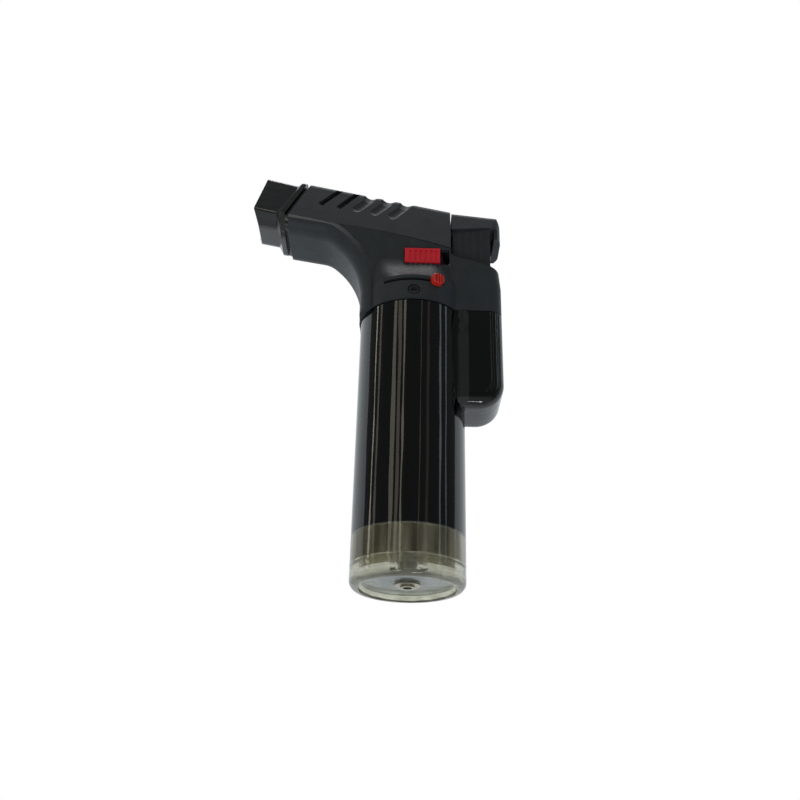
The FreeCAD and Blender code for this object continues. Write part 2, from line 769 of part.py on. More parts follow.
def ignition():
    """Electrode and its ceramic sleeve, the two leads and the piezo igniter."""
    rise = 7.35
    sleeve = Part.makeCylinder(1.3, 20.0, barrel_point(-10, rise), barrel_point(1) - barrel_point(0))
    wire_hole = Part.makeCylinder(0.55, 20.0, barrel_point(-10, rise), barrel_point(1) - barrel_point(0))
    insulator = freeform("electrode_insulator", sleeve.cut(wire_hole))
    wire = freeform("electrode", tube([
        barrel_point(-12, rise), barrel_point(12.6, rise), barrel_point(13.6, 4.6)], 0.5, bend=0.9))
    x = DIMENSIONS["piezo_x"]
    hot = [barrel_point(-12, rise), barrel_point(-18, rise - 0.4, 1.0), barrel_point(-26, 5.2, 4.0),
           V(-5, 5.4, 139.0), V(4.0, 5.8, 136.0), V(9.6, 6.2, 130.0), V(11.2, 6.4, 121.0),
           V(12.6, 7.2, 112.0), V(16.0, 8.0, 106.6), V(20.6, 8.2, 103.0), V(22.4, 7.4, 95.0),
           V(22.6, 6.6, 86.0)]
    earth = [barrel_point(-13.0, 0.0, -5.6), barrel_point(-20.0, 0.5, -6.2), barrel_point(-28, 0.0, -6.4),
             V(-7.5, -6.4, 136.0), V(2.0, -6.4, 134.0), V(9.0, -6.3, 128.6), V(11.8, -6.3, 120.0),
             V(12.6, -7.2, 112.0), V(16.0, -8.0, 106.6), V(20.6, -8.2, 103.0), V(22.4, -7.4, 95.0),
             V(22.6, -6.6, 86.0)]
    leads = [freeform("spark_lead", tube(hot, 0.75)), freeform("earth_lead", tube(earth, 0.75))]
    case = Piece("piezo_body")
    case.pad("XY_Plane", rectangle(at.piezo_x - 4.3, at.piezo_x + 4.3, -5.6, 5.6),
             at.piezo_top - at.piezo_bottom, offset=at.piezo_bottom)
    case.round(1.2, lambda edge: along(edge, UP))
    bore = at.plunger_radius + 0.3
    case.pocket("XY_Plane", Disc(at.piezo_x, 0, bore), 13.0, offset=at.piezo_top)
    radius = at.plunger_radius
    plunger = Piece("piezo_plunger").revolve([
        (0, 88.0), (radius, 88.0), (radius, 112.6), (4.7, 112.6), (4.7, 113.8), (radius, 113.8),
        (radius, at.stem_bottom), (0, at.stem_bottom)])
    place(plunger.body, x=at.piezo_x)
    spring = freeform("piezo_spring", coil(V(x, 0, 0), 3.85, 0.35, DIMENSIONS["piezo_top"], 112.55, 7))
    return [insulator, wire] + leads + [case, plunger, spring]


def gas_hose():
    """Silicone hose from the valve stem's nipple to the gas jet's nipple."""
    start = V(0, 0, DIMENSIONS["collar_under"] + 2.7)
    jet_tail = barrel_point(DIMENSIONS["jet_rear"] + 3.9)
    ahead = jet_tail - barrel_point(DIMENSIONS["jet_rear"] + 4.9)
    corner = jet_tail - ahead * (jet_tail.x / ahead.x)
    return freeform("gas_hose", tube([start, corner, jet_tail], DIMENSIONS["hose_radius"],
                                     DIMENSIONS["hose_bore"], bend=10.0))


# ---------------------------------------------------------------- head housing

# Cutting blocks reach this far, which is past the torch on every side.
FAR = 200.0


def lines(*spots):
    """Straight edges in the mid-plane through (x, z) spots."""
    points = [V(x, 0, z) for x, z in spots]
    return [Part.LineSegment(one, two).toShape() for one, two in zip(points, points[1:])]


def across(edges, half=60.0):
    """Solid with the given side view, equally wide on both sides of the mid-plane."""
    solid = Part.Face(Part.Wire(edges)).extrude(V(0, 2 * half, 0))
    solid.translate(V(0, -half, 0))
    return solid


def softened(corners, radii):
    """Closed flat outline through the corners, with an arc at each whose radius isn't 0."""
    edges = []
    ends = []
    count = len(corners)
    for index, radius in enumerate(radii):
        corner = corners[index]
        back = (corners[index - 1] - corner).normalize()
        ahead = (corners[(index + 1) % count] - corner).normalize()
        if radius == 0:
            ends.append((corner, corner))
            continue
        half = back.getAngle(ahead) / 2
        inward = (back + ahead).normalize()
        one = corner + back * (radius / math.tan(half))
        two = corner + ahead * (radius / math.tan(half))
        edges.append(Part.Arc(one, corner + inward * (radius / math.sin(half) - radius), two).toShape())
        ends.append((one, two))
    for index in range(count):
        edges.append(Part.LineSegment(ends[index][1], ends[(index + 1) % count][0]).toShape())
    return Part.Wire(Part.__sortEdges__(edges))


def ridge_z(x):
    """Height of the crease at which the barrel's sides start to lean in."""
    return DIMENSIONS["ridge_front_z"] - DIMENSIONS["ridge_slope"] * (x - DIMENSIONS["head_front"])


def top_z(x):
    return DIMENSIONS["top_rear_z"] + DIMENSIONS["top_slope"] * (DIMENSIONS["cover_rear"] - x)


def shelf_z(x):
    """Height of the sloping shelf behind the barrel, through which the thumb button goes down."""
    n = DIMENSIONS
    run = n["head_rear"] - n["shelf_edge"] - n["cover_rear"]
    return n["shelf_front_z"] - (n["shelf_front_z"] - n["shelf_rear_z"]) * (x - n["cover_rear"]) / run


def seam(lift=0.0, rear_lift=0.0):
    """Line between housing and cover: straight at the front, then one long arc to the cover's rear.

    The cover's own line is lifted off the housing's, more at the rear than at the front.
    """
    n = DIMENSIONS
    slope = (n["ridge_front_z"] - n["seam_step_z"]) / (n["seam_step_x"] - n["head_front"])
    step = V(n["seam_step_x"], 0, n["seam_step_z"] + lift)
    start = step + V(-FAR, 0, FAR * slope)
    middle = V(n["seam_middle_x"], 0, n["seam_middle_z"] + (lift + rear_lift) / 2)
    end = V(n["cover_rear"], 0, ridge_z(n["cover_rear"]) + rear_lift)
    return start, end, [Part.LineSegment(start, step).toShape(), Part.Arc(step, middle, end).toShape()]


def under_edges(inset, front):
    """The head's underside from a front x back and down to the neck's foot, moved inward by inset."""
    n = DIMENSIONS
    slope = (n["throat_z"] - n["under_front"]) / (n["throat_x"] - n["head_front"])
    along_under = V(1, 0, slope).normalize()
    below = V(along_under.z, 0, -along_under.x)
    front_low = V(front, 0, n["under_front"] + slope * (front - n["head_front"]) + inset / along_under.x)
    bend = n["neck_bend"] + inset
    tight = n["throat_bend"] + inset
    centre = V(n["neck_front"] - n["neck_bend"], 0, n["neck_foot_z"])
    # The tight arc touches the underside's line and, from inside, the wide arc of the neck.
    offset = front_low + below * tight - centre
    half_b = offset.dot(along_under)
    travel = -half_b + math.sqrt(half_b ** 2 - offset.dot(offset) + (bend - tight) ** 2)
    tight_centre = front_low + along_under * travel + below * tight
    line_end = front_low + along_under * travel
    joint = centre + (tight_centre - centre).normalize() * bend
    tight_middle = tight_centre + ((line_end + joint) * 0.5 - tight_centre).normalize() * tight
    foot = V(n["neck_front"] + inset, 0, n["neck_foot_z"])
    wide_middle = centre + ((joint + foot) * 0.5 - centre).normalize() * bend
    return front_low, foot, [Part.LineSegment(front_low, line_end).toShape(),
                             Part.Arc(line_end, tight_middle, joint).toShape(),
                             Part.Arc(joint, wide_middle, foot).toShape()]


def side_pan(side):
    """What the flat side is sunk by, inside the proud rim that runs along the underside."""
    n = DIMENSIONS
    wires = []
    for half in (n["head_half_width"], n["head_half_width"] + n["rim_proud"] + 0.5):
        back = (half - n["head_half_width"]) / math.tan(math.radians(n["rim_bevel"]))
        front_low, foot, edges = under_edges(n["rim_width"] - back, -FAR / 2)
        edges += lines((foot.x, foot.z), (foot.x, 80), (FAR, 80), (FAR, FAR), (-FAR / 2, FAR),
                       (-FAR / 2, front_low.z))
        wire = Part.Wire(edges)
        wire.translate(V(0, side * half, 0))
        wires.append(wire)
    return Part.makeLoft(wires, True, True)


def slab(inset):
    """Block with the housing's side profile, left too tall; its front and underside are rounded."""
    n = DIMENSIONS
    rear = n["head_rear"] - inset
    bottom = n["collar_bottom"] - 4 * inset
    lift = 8.0
    front = n["head_front"] - 4 * inset
    front_low, foot, edges = under_edges(inset, front)
    edge_x = n["cover_rear"]
    corner_x = rear - n["shelf_edge"]
    edges += lines((foot.x, foot.z), (foot.x, bottom), (rear, bottom), (rear, n["shelf_rear_z"] - 7.0),
                   (corner_x, shelf_z(corner_x) + lift), (edge_x, shelf_z(edge_x) + lift),
                   (edge_x, ridge_z(edge_x) + lift), (front, ridge_z(front) + lift), (front, front_low.z))
    half = n["head_half_width"] + (n["rim_proud"] if inset == 0 else -inset)
    solid = across(edges, half)

    def on_side(edge):
        return edge.BoundBox.YLength < 0.01 and abs(abs(edge.CenterOfMass.y) - half) < 0.01

    under = [edge for edge in solid.Edges
             if on_side(edge) and edge.BoundBox.XMax < foot.x + 0.01
             and edge.CenterOfMass.z < n["under_front"] + 3 + inset
             and edge.BoundBox.ZMax < ridge_z(front) - 2]
    solid = solid.makeFillet(n["under_rounding"] - inset, under)
    if inset == 0:
        half = n["head_half_width"]
        solid = solid.cut([side_pan(side) for side in (-1, 1)])
    corner = [edge for edge in solid.Edges if on_side(edge) and edge.BoundBox.XMin > corner_x - 0.1]
    return solid.makeFillet(n["box_corner"] - inset, corner)


def shoulder(inset):
    """Blend from the round collar up to the flat-sided head."""
    n = DIMENSIONS
    # The foot stands inside the collar, clear of its surface.
    radius = n["collar_radius"] - inset - n["shoulder_foot_inset"]
    low = n["collar_top"] - n["shoulder_foot_depth"]
    high = n["shoulder_top"] - 0.5 * inset
    sections = []
    for share in (0.0, 0.25, 0.6, 1.0):
        z = low + share * (high - low)
        # The sides draw in quickly at first and then run up along the head.
        pull = 1 - (1 - share) ** 2
        left = -radius + pull * (radius + n["shoulder_left"] + inset)
        right = radius + pull * (n["shoulder_right"] - inset - radius)
        half = radius + pull * (n["head_half_width"] - n["shoulder_sunk"] - inset - radius)
        rounding = min(radius, half) * (1 - n["shoulder_squareness"] * pull) - 0.05
        corners = [V(left, -half, z), V(right, -half, z), V(right, half, z), V(left, half, z)]
        sections.append(softened(corners, [rounding] * 4))
    return Part.makeLoft(sections, True, False)


def above_head():
    """Everything above the seam and above the shelf that the thumb button stands over."""
    n = DIMENSIONS
    start, end, edges = seam()
    corner_x = n["head_rear"] - n["shelf_edge"]
    edges += lines((end.x, end.z), (end.x, shelf_z(end.x)), (corner_x, shelf_z(corner_x)),
                   (n["head_rear"] + 5, n["shelf_rear_z"] - 3), (n["head_rear"] + 5, FAR),
                   (start.x, FAR), (start.x, start.z))
    return across(edges)


def head_form(inset):
    """Outer form of the head, or its inside when inset is the wall; both still too tall."""
    n = DIMENSIONS
    collar_low = n["collar_bottom"] - 4 * inset
    collar = Part.makeCylinder(n["collar_radius"] - inset, n["collar_top"] - collar_low, V(0, 0, collar_low))
    return slab(inset).fuse([collar, shoulder(inset)])


def button_well():
    """Room for the thumb button's stem and its nub."""
    n = DIMENSIONS
    gap = n["button_gap"]
    front = n["button_front"] + n["stem_setback"] - gap
    half = n["stem_half_width"] + gap
    foot = n["nub_foot"] - 2.0
    return Part.makeBox(n["stem_rear"] + gap - front, 2 * half, FAR - foot, V(front, -half, foot))


def head_inside():
    """The head's hollow: open at the top under the cover, and roofed by the shelf behind it."""
    n = DIMENSIONS
    wall = n["housing_wall"]
    front = n["button_front"] + n["stem_setback"] - n["button_gap"]
    back = n["head_rear"] + 5
    roof = across(lines((front, shelf_z(front) - wall), (back, shelf_z(back) - wall), (back, FAR),
                        (front, FAR), (front, shelf_z(front) - wall)))
    return head_form(wall).cut(roof).fuse(button_well())


def cover_prism(inset, x_front, x_rear):
    """Prism above the ridge: slanted sides, rounded top corners, both ends in planes across X."""
    n = DIMENSIONS
    wires = []
    for x in (x_front, x_rear):
        low = ridge_z(x) - 4 * inset
        high = top_z(x) - inset
        lean = (n["head_half_width"] - n["top_half_width"]) / (top_z(x) - ridge_z(x))
        low_half = n["head_half_width"] + (ridge_z(x) - low) * lean - inset
        high_half = n["top_half_width"] + (top_z(x) - high) * lean - inset
        corners = [V(x, -low_half, low), V(x, -high_half, high), V(x, high_half, high), V(x, low_half, low)]
        wires.append(Part.makePolygon(corners + corners[:1]))
    solid = Part.makeLoft(wires, True, True)
    top_edges = [edge for edge in solid.Edges
                 if edge.BoundBox.XLength > 5 and edge.CenterOfMass.z > (top_z(0) + ridge_z(0)) / 2
                 and edge.BoundBox.ZMin > ridge_z(edge.BoundBox.XMax) + 5]
    return solid.makeFillet(n["top_rounding"] - 0.5 * inset, top_edges)


def front_band(start, width):
    """Slice of the barrel that follows its kinked front, start millimetres ahead of the head."""
    n = DIMENSIONS
    x = n["head_front"] - start
    kink = n["ridge_front_z"]
    rake = (n["cover_front_top"] - n["head_front"]) / (n["cover_front_z"] - kink)
    high = kink + 35.0
    high_x = x + rake * (high - kink)
    return across(lines((x, 60), (x, kink), (high_x, high), (high_x - width, high), (x - width, kink),
                        (x - width, 60), (x, 60)))


def lock_window():
    n = DIMENSIONS
    left = n["lock_left"] - n["slide_gap"]
    low = n["lock_low"] - n["slide_gap"]
    return Part.makeBox(n["window_right"] - left, 8.0, n["lock_high"] - low + n["slide_gap"],
                        V(left, -18.0, low))


def adjuster_slot():
    """Arc slot for the flame adjuster, through the collar's near side."""
    n = DIMENSIONS
    half = n["slot_half_angle"]
    height = n["slot_high"] - n["slot_low"]
    outer = Part.makeCylinder(n["collar_radius"] + 2, height, V(0, 0, n["slot_low"]), UP, 2 * half)
    inner = Part.makeCylinder(n["neck_radius"] - 2, height, V(0, 0, n["slot_low"]), UP, 2 * half)
    slot = outer.cut(inner)
    slot.rotate(V(0, 0, 0), UP, 270 - half)
    return slot


# Where the two screws that hold the halves together cross the head, as (x, z).
HOUSING_SCREWS = ((-22.0, 127.5), (-13.0, 117.5))


def rod(x, z, radius, start, end):
    """Cylinder across the head, from y = start to y = end."""
    return Part.makeCylinder(radius, end - start, V(x, start, z), V(0, 1, 0))


def housing_half(label, side, outer, inner):
    """One half of the housing. side is -1 for the half with the slot and the lock, +1 for the other."""
    n = DIMENSIONS
    reach = n["head_half_width"] + 8
    gap = n["split_gap"] / 2

    def side_rod(x, z, radius, start):
        """Rod from a distance off the mid-plane out through this half's wall."""
        return rod(x, z, radius, start, reach) if side > 0 else rod(x, z, radius, -reach, -start)

    size = 140.0
    keep = Part.makeBox(2 * size, size - gap, 2 * size, V(-size, gap if side > 0 else -size, 0))
    half = outer.common(keep)
    bosses = [side_rod(x, z, n["screw_boss"], gap) for x, z in HOUSING_SCREWS]
    bosses.append(side_rod(n["pivot_x"], n["pivot_z"], n["screw_boss"], n["pin_boss_start"]))
    shell = half.cut(inner)
    for boss in bosses:
        shell = shell.fuse(boss.common(half))
    pin_end = n["head_half_width"] - n["pin_cover"]
    shell = shell.cut(rod(n["pivot_x"], n["pivot_z"], n["pin_radius"] + n["pin_fit"], -pin_end, pin_end))
    shank = n["screw_shank"] + n["running_gap"]
    head = n["screw_head"] + n["head_clearance"]
    for x, z in HOUSING_SCREWS:
        shell = shell.cut(rod(x, z, shank, -n["screw_end"], reach))
        if side > 0:
            shell = shell.cut(side_rod(x, z, head, n["head_half_width"] - n["screw_seat"]))
    shell = shell.cut(rod(0, n["collar_screw_z"], shank, -reach, reach))
    shell = shell.cut(side_rod(0, n["collar_screw_z"], head, n["collar_radius"] - n["collar_seat"]))
    if side < 0:
        shell = shell.cut(adjuster_slot()).cut(lock_window())
    return freeform(label, shell.removeSplitter())


# ---------------------------------------------------------------- top cover

def cover_side(x, z, side, off):
    """Point off the cover's slanted side by a distance, at a given x and z."""
    n = DIMENSIONS
    lean = (n["head_half_width"] - n["top_half_width"]) / (top_z(x) - ridge_z(x))
    half = n["top_half_width"] + (top_z(x) - z) * lean
    outward = V(0, 1, lean).normalize()
    return V(x, side * (half + off * outward.y), z + off * outward.z)


def groove(x, side):
    """Soft groove that climbs the cover's side and runs over its top corner."""
    n = DIMENSIONS
    radius = n["groove_radius"]
    off = radius - n["groove_depth"]
    rise = math.radians(n["vent_rise"])
    half = n["groove_length"] / 2
    middle_z = top_z(x) - n["groove_drop"]
    corner = n["top_rounding"]
    low_x, high_x = x - half * math.cos(rise), x + half * math.cos(rise)
    low = cover_side(low_x, middle_z - half * math.sin(rise), side, off)
    high = cover_side(high_x, middle_z + half * math.sin(rise), side, off)
    # Over the corner the groove keeps its depth: it turns about the corner's own centre line.
    turn = math.radians(n["groove_turn"])
    bend_x = high_x + n["groove_bend"]
    centre = V(bend_x, side * (n["top_half_width"] - 0.8 * corner), top_z(bend_x) - corner)
    bend = centre + V(0, side * math.cos(turn), math.sin(turn)) * (corner + off)
    end_x = bend_x + n["groove_bend"]
    end = V(end_x, side * (n["top_half_width"] - corner - n["groove_depth"]), top_z(end_x) + off)
    path = (low, high, bend, end)
    balls = [Part.makeSphere(radius, point) for point in path]
    tubes = [Part.makeCylinder(radius, (two - one).Length, one, two - one)
             for one, two in zip(path, path[1:])]
    return balls[0].fuse(balls[1:] + tubes)


def vent(x, rise, side):
    """Open slot through the cover's side, leaning like the grooves."""
    n = DIMENSIONS
    deep = n["vent_reach"]
    start = side * (n["top_half_width"] - n["vent_inward"])
    block = Part.makeBox(n["vent_width"], deep, n["vent_length"],
                         V(-n["vent_width"] / 2, 0 if side > 0 else -deep, -n["vent_length"] / 2))
    block.rotate(V(0, 0, 0), V(0, 1, 0), 90 - rise)
    block.translate(V(x, start, top_z(x) - n["vent_drop"]))
    return block


def top_cover():
    """Loose lid over the barrel, with two open vents and three grip grooves on each side."""
    n = DIMENSIONS
    wall = n["housing_wall"]
    rear = n["cover_rear"]
    lid = cover_prism(0, -55, rear).cut(cover_prism(wall, -60, rear - wall))
    lid = lid.common(front_band(-FAR, FAR))
    start, end, edges = seam(n["cover_gap"], n["cover_gap_rear"])
    under = across(edges + lines((end.x, end.z), (end.x + 30, end.z), (end.x + 30, 90), (start.x, 90),
                                 (start.x, start.z)))
    lid = lid.cut(under)
    for side in (-1, 1):
        for index in range(2):
            rise = n["vent_rise"] + n["vent_fan"] * index
            lid = lid.cut(vent(n["vent_front"] + n["vent_pitch"] * index, rise, side))
        for index in range(3):
            lid = lid.cut(groove(n["groove_front"] + n["vent_pitch"] * index, side))
    return freeform("top_cover", lid.removeSplitter())


# ---------------------------------------------------------------- nozzle guard and its ring

def guard_corners(x, grow):
    """Half widths and heights of the guard's six corners at x: bottom, ridge and top."""
    n = DIMENSIONS
    ahead = n["nozzle_middle"] - x
    return {
        "bottom": (n["nozzle_bottom_half"] + 0.4 * grow,
                   n["nozzle_bottom_z"] + n["nozzle_bottom_slope"] * ahead - grow),
        "ridge": (n["nozzle_ridge_half"] + grow, n["nozzle_ridge_z"] + n["ridge_slope"] * ahead),
        "top": (n["nozzle_top_half"] + 0.8 * grow,
                n["nozzle_top_z"] + n["nozzle_top_slope"] * ahead + grow),
    }


def guard_bore():
    """The guard's six-sided inside, far too long at both ends."""
    n = DIMENSIONS
    wires = []
    for x in (-75.0, -30.0):
        sizes = guard_corners(x, -n["nozzle_wall"])
        loop = [V(x, -sizes[name][0], sizes[name][1]) for name in ("bottom", "ridge", "top")]
        loop += [V(x, -point.y, point.z) for point in reversed(loop)]
        top = n["nozzle_rounding"] - 0.5
        belly = n["nozzle_belly"] - 0.5
        wires.append(softened(loop, [belly, top, top, top, top, belly]))
    return Part.makeLoft(wires, True, True)


def guard_body():
    """The guard's outside: a proud lip by the ring, a flare, then the six-sided tube.

    It is made of two tapered blocks that meet at the ridge, because the head's front is upright
    below the ridge and raked above it, and the lip follows it.
    """
    n = DIMENSIONS
    start = n["ring_width"] + 2 * n["ring_gap"]
    stations = ((start, n["lip_proud"]), (start + n["lip_width"], n["lip_proud"]),
                (start + n["lip_width"] + n["lip_flare"], 0.0), (40.0, 0.0))
    lower = []
    upper = []
    for ahead, grow in stations:
        low_x = n["head_front"] - ahead
        high_x = n["cover_front_top"] - ahead
        ridge_half, ridge = guard_corners(low_x, grow)["ridge"]
        bottom_half, bottom = guard_corners(low_x, grow)["bottom"]
        top_half, top = guard_corners(high_x, grow)["top"]
        if grow:
            bottom -= n["lip_drop"]
        rounding = n["nozzle_rounding"]
        belly = n["nozzle_belly"]
        lower.append(softened([V(low_x, -ridge_half, ridge), V(low_x, -bottom_half, bottom),
                               V(low_x, bottom_half, bottom), V(low_x, ridge_half, ridge)],
                              [0, belly, belly, 0]))
        upper.append(softened([V(low_x, ridge_half, ridge), V(high_x, top_half, top),
                               V(high_x, -top_half, top), V(low_x, -ridge_half, ridge)],
                              [0, rounding, rounding, 0]))
    body = Part.makeLoft(lower, True, True).fuse(Part.makeLoft(upper, True, True)).removeSplitter()
    ridges = [edge for edge in body.Edges
              if len(edge.Vertexes) == 2 and abs(edge.Vertexes[0].Point.x - edge.Vertexes[1].Point.x) > 10
              and all(abs(abs(end.Point.y) - guard_corners(end.Point.x, 0)["ridge"][0]) < 0.01
                      for end in edge.Vertexes)]
    return body.makeFillet(n["nozzle_ridge_round"], ridges) if ridges else body


def ring_block():
    """Bar with the head's section at its front, sunk by the ring's inset."""
    n = DIMENSIONS
    inset = n["ring_inset"]
    half = n["head_half_width"] - inset
    top_half = n["top_half_width"] - 0.8 * inset
    wires = []
    for x in (-60.0, -36.0):
        low = n["under_front"] - n["nozzle_bottom_slope"] * (x - n["head_front"]) + inset
        high = top_z(x) - inset
        under = n["ring_rounding"]
        over = n["top_rounding"]
        wires.append(softened([V(x, -half, low), V(x, -half, ridge_z(x)), V(x, -top_half, high),
                               V(x, top_half, high), V(x, half, ridge_z(x)), V(x, half, low)],
                              [under, 0, over, over, 0, under]))
    return Part.makeLoft(wires, True, True)


def nozzle_pieces():
    n = DIMENSIONS
    ring = ring_block().common(front_band(n["ring_gap"], n["ring_width"]))
    ring = ring.cut(guard_bore())
    front = n["nozzle_front"]
    middle = n["nozzle_ridge_z"] + n["ridge_slope"] * (n["nozzle_middle"] - front)
    high_x = front + n["nozzle_rake"] * 40
    low_x = front + n["nozzle_under_rake"] * 20
    ahead = across(lines((low_x, middle - 20), (front, middle), (high_x, middle + 40), (-FAR, middle + 40),
                         (-FAR, middle - 20), (low_x, middle - 20)))
    guard = guard_body().cut([guard_bore(), ahead])
    return [freeform("nozzle_ring", ring.removeSplitter()), freeform("nozzle_guard", guard.removeSplitter())]


# ---------------------------------------------------------------- controls and screws

def hood():
    """Solid cap of the thumb button, with a sloping roof and a lower edge that rises to the rear."""
    n = DIMENSIONS
    front = n["button_front"]
    rear = n["button_rear"]
    beyond = rear + 4
    high_half = n["top_half_width"] - 0.3
    wires = []
    for x in (front, beyond):
        high = n["hood_front_z"] - n["hood_slope"] * (x - front)
        low = n["hood_under"] + n["hood_under_rise"] * (x - front)
        low_half = high_half + (high - low) * n["hood_lean"]
        corners = [V(x, -low_half, low), V(x, -high_half, high), V(x, high_half, high), V(x, low_half, low)]
        wires.append(Part.makePolygon(corners + corners[:1]))
    block = Part.makeLoft(wires, True, True)
    top_edges = [edge for edge in block.Edges
                 if edge.BoundBox.XLength > 5 and edge.CenterOfMass.z > n["hood_under"] + 5
                 and abs(edge.CenterOfMass.y) < high_half + 0.1]
    return block.makeFillet(n["top_rounding"], top_edges)


def hood_plan():
    """Top view of the hood, with its round rear corners."""
    n = DIMENSIONS
    front = n["button_front"] - 5
    rear = n["button_rear"]
    plan = Part.makeBox(rear - front, 2 * n["hood_plan_half"], 40,
                        V(front, -n["hood_plan_half"], n["skirt_foot"] - 10))
    upright = [edge for edge in plan.Edges if along(edge, UP) and edge.CenterOfMass.x > rear - 0.1]
    return plan.makeFillet(n["hood_plan_corner"], upright)


def hood_outline():
    """Side view that rounds the hood's rear top corner and carries the rear wall down."""
    n = DIMENSIONS
    front = n["button_front"] - 0.01
    rear = n["button_rear"]
    corner = n["hood_corner"]
    roof = n["hood_front_z"] - n["hood_slope"] * (rear - n["button_front"])
    start = V(rear, 0, roof - corner)
    end = V(rear - corner, 0, roof + n["hood_slope"] * corner)
    bulge = corner * (1 - math.sqrt(0.5))
    middle = V(rear - bulge, 0, roof - bulge)
    edges = lines((end.x, end.z), (front, FAR), (front, n["skirt_foot"]), (rear, n["skirt_foot"]),
                  (start.x, start.z))
    return across(edges + [Part.Arc(start, middle, end).toShape()])


def thumb_button():
    """Hooded button: cap and rear wall over a fluted stem, with a nub for the gas lever."""
    n = DIMENSIONS
    wall = Part.makeBox(n["skirt_wall"], 2 * n["skirt_half_width"], 8.0,
                        V(n["button_rear"] - n["skirt_wall"], -n["skirt_half_width"], n["skirt_foot"]))
    cap = hood().fuse(wall).common(hood_outline()).common(hood_plan())
    half = n["stem_half_width"]
    front = n["button_front"] + n["stem_setback"]
    stem_top = n["hood_under"] + n["hood_under_rise"] * (n["stem_rear"] - front) + 1
    stem = Part.makeBox(n["stem_rear"] - front, 2 * half, stem_top - n["stem_bottom"],
                        V(front, -half, n["stem_bottom"]))
    for index in range(4):
        x = front + n["flute_first"] + n["flute_pitch"] * index
        for side in (-1, 1):
            stem = stem.cut(Part.makeCylinder(n["flute_radius"], 40.0, V(x, side * (half + n["flute_off"]),
                                                                        n["stem_bottom"] - 1)))
    nub = Part.makeBox(n["nub_length"], n["nub_width"], n["stem_bottom"] - n["nub_foot"],
                       V(n["nub_left"], -n["nub_width"] / 2, n["nub_foot"]))
    return freeform("thumb_button", cap.fuse([stem, nub]).removeSplitter())


def lock_slide():
    """Red ribbed pad in the window, and the black plate it is pegged to behind the window's edges."""
    low = at.lock_low
    high = at.lock_high
    plate = Piece("lock_plate")
    plate.pad("XZ_Plane", rectangle(at.lock_plate_left, at.lock_plate_right, low - 1.2, high + 0.6),
              at.lock_plate, offset=at.lock_plate_face - at.lock_plate)
    middle = (low + high) * 0.5
    pegs = (at.lock_left + at.lock_peg_inset, at.lock_right - at.lock_peg_inset)
    pad = Piece("lock_slide")
    pad.pad("XZ_Plane", rectangle(at.lock_left, at.lock_right, low, high),
            at.lock_face - at.lock_plate_face, offset=at.lock_plate_face)
    for x in pegs:
        pad.pad("XZ_Plane", Disc(x, middle, at.lock_peg), at.lock_plate,
                offset=at.lock_plate_face - at.lock_plate)
        plate.pocket("XZ_Plane", Disc(x, middle, at.lock_peg + at.pin_fit), at.lock_plate,
                     offset=at.lock_plate_face)
    doc.recompute()
    for index in range(6):
        x = at.lock_left + at.rib_first + at.rib_pitch * index
        pad.pocket("XZ_Plane", rectangle(x, x + at.rib_gap, low - 0.5, high - at.rib_top), at.rib_depth,
                   offset=at.lock_face)
    return [pad, plate]


def phillips(top, outward, head_height, length):
    """Cylinder-head screw with a cross recess; top is the middle of its head's outer face."""
    n = DIMENSIONS
    head = Part.makeCylinder(n["screw_head"], head_height, top, -outward)
    screw = head.fuse(Part.makeCylinder(n["screw_shank"], length, top, -outward))
    turned = FreeCAD.Placement(top, FreeCAD.Rotation(UP, outward))
    long, wide, deep = n["cross_length"], n["cross_width"], n["cross_depth"]
    for length_x, length_y in ((long, wide), (wide, long)):
        bar = Part.makeBox(length_x, length_y, 2 * deep, V(-length_x / 2, -length_y / 2, -deep))
        bar.Placement = turned.multiply(bar.Placement)
        screw = screw.cut(bar)
    return screw


def screws():
    n = DIMENSIONS
    collar_top = n["collar_radius"] - n["collar_seat"] + n["collar_head"]
    collar = [phillips(V(0, side * collar_top, n["collar_screw_z"]), V(0, side, 0), n["collar_head"],
                       n["collar_screw_length"]) for side in (-1, 1)]
    body_top = n["head_half_width"] - n["screw_seat"] + n["body_head"]
    body = [phillips(V(x, body_top, z), V(0, 1, 0), n["body_head"], n["body_screw_length"])
            for x, z in HOUSING_SCREWS]
    return [freeform("collar_screws", Part.makeCompound(collar)),
            freeform("housing_screws", Part.makeCompound(body))]


# ---------------------------------------------------------------- build, check and write

def build():
    outer = head_form(0).common(front_band(-FAR, FAR)).cut(above_head())
    inner = head_inside()
    pieces = [base_cap(), fuel_tank()]
    pieces += refill_valve() + gas_valve()
    pieces += [flame_adjuster(), gas_lever(), lever_pin(), gas_hose()]
    pieces += burner() + ignition()
    pieces += [housing_half("housing_left", -1, outer, inner),
               housing_half("housing_right", 1, outer, inner), top_cover()]
    pieces += nozzle_pieces()
    pieces += [thumb_button()] + lock_slide() + screws()
    return [piece.body if isinstance(piece, Piece) else piece for piece in pieces]


def check_and_write(pieces):
    doc.recompute()
    for item in doc.Objects:
        if "Invalid" in item.State or "Error" in item.State:
            raise RuntimeError(f"{item.Name} failed: {item.State}")
    for item in pieces:
        if item.Shape.isNull() or not item.Shape.isValid() or not item.Shape.Solids:
            raise RuntimeError(f"{item.Label} has no valid solid")
    os.makedirs("parts", exist_ok=True)
    for item in pieces:
        item.Shape.exportStep(f"parts/{item.Label}.step")
        box = item.Shape.BoundBox
        print(f"{item.Label:22s} solids {len(item.Shape.Solids)}  volume {item.Shape.Volume:9.1f}  "
              f"x {box.XMin:7.2f} {box.XMax:7.2f}  y {box.YMin:7.2f} {box.YMax:7.2f}  "
              f"z {box.ZMin:7.2f} {box.ZMax:7.2f}")


check_and_write(build())
